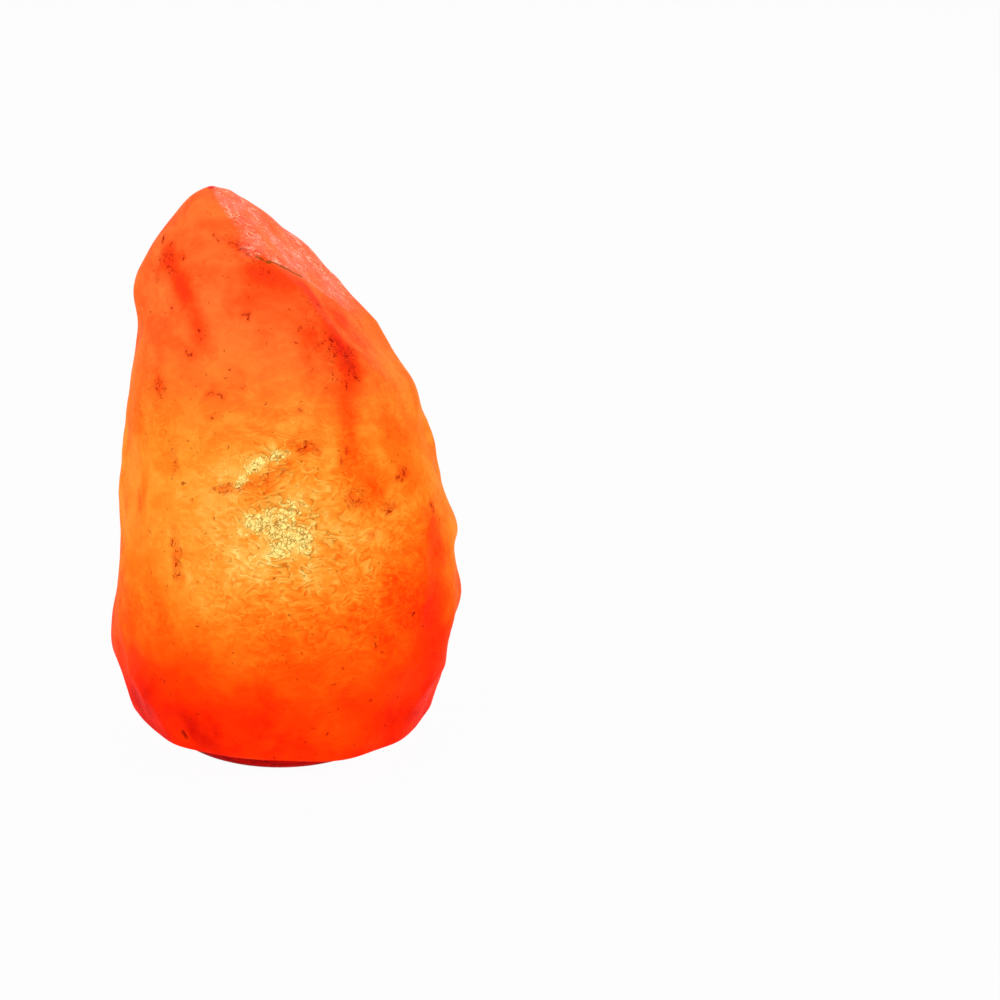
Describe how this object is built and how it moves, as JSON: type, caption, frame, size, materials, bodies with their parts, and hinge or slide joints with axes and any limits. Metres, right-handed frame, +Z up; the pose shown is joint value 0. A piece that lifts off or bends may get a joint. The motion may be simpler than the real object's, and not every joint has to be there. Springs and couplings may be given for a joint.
{
  "type": "salt crystal lamp",
  "caption": "Free-standing table lamp: a hollowed salt crystal on a round wooden base, lit from inside by a screw-in bulb in a clip-in lampholder.",
  "frame": {"origin": "on the surface that the lamp stands on, at the axis of the round base", "axes": "+Z up, -Y towards the front that the picture shows, +X to the right seen from the front"},
  "size_m": [0.1423, 0.1335, 0.226],
  "materials": {
    "salt": "satin",
    "wood": "satin",
    "rubber_black": "matte",
    "nylon_grey": "matte",
    "zinc_steel": "satin",
    "spring_steel": "satin",
    "brass": "satin",
    "holder_plastic": "satin",
    "core_ceramic": "matte",
    "nickel": "satin",
    "solder": "satin",
    "black_glass": "gloss",
    "clear_glass": "gloss",
    "tungsten": "satin"
  },
  "bodies": {
    "lamp": {"salt_crystal": "salt", "wall_plugs": "nylon_grey", "base_screws": "zinc_steel", "wooden_base": "wood", "cord_grommet": "rubber_black", "rubber_pad": "rubber_black"},
    "lampholder": {"cord_nipple": "zinc_steel", "nipple_nuts": "zinc_steel", "clip_plate": "spring_steel", "holder_cap": "holder_plastic", "holder_body": "holder_plastic", "holder_core": "core_ceramic", "screw_shell": "brass", "live_terminal": "brass", "neutral_terminal": "brass", "terminal_screws": "zinc_steel"},
    "left_clip": {"clip_left": "spring_steel"},
    "right_clip": {"clip_right": "spring_steel"},
    "contact_tongue": {"centre_contact": "brass"},
    "bulb_lift": {"bulb_tip": "solder"},
    "bulb": {"bulb_insulator": "black_glass", "bulb_cap": "nickel", "bulb_glass": "clear_glass", "bulb_stem": "clear_glass", "lead_wires": "nickel", "filament": "tungsten"}
  },
  "joints": [
    {"name": "lampholder_pull", "type": "slide", "parent": "lamp", "child": "lampholder", "axis": [0, 0, -1], "range_m": [0, 0.105]},
    {"name": "left_clip_flex", "type": "hinge", "parent": "lampholder", "child": "left_clip", "pos_m": [-0.0158, 0, 0.022], "axis": [0, 1, 0], "range_deg": [0, 8], "stiffness_Nm_per_rad": 0.15, "springref_deg": -5.73},
    {"name": "right_clip_flex", "type": "hinge", "parent": "lampholder", "child": "right_clip", "pos_m": [0.0158, 0, 0.022], "axis": [0, -1, 0], "range_deg": [0, 8], "stiffness_Nm_per_rad": 0.15, "springref_deg": -5.73},
    {"name": "contact_flex", "type": "hinge", "parent": "lampholder", "child": "contact_tongue", "pos_m": [-0.0033, 0, 0.0433], "axis": [0, 1, 0], "range_deg": [0, 8], "stiffness_Nm_per_rad": 0.01, "springref_deg": -5.73},
    {"name": "bulb_rise", "type": "slide", "parent": "lampholder", "child": "bulb_lift", "axis": [0, 0, 1], "range_m": [0, 0.01412]},
    {"name": "bulb_turn", "type": "hinge", "parent": "bulb_lift", "child": "bulb", "pos_m": [0, 0, 0.06], "axis": [0, 0, 1], "range_deg": [0, 1800]}
  ],
  "couplings": [
    {"joint": "bulb_rise", "follows": "bulb_turn", "m_per_rad": 0.00044913}
  ]
}
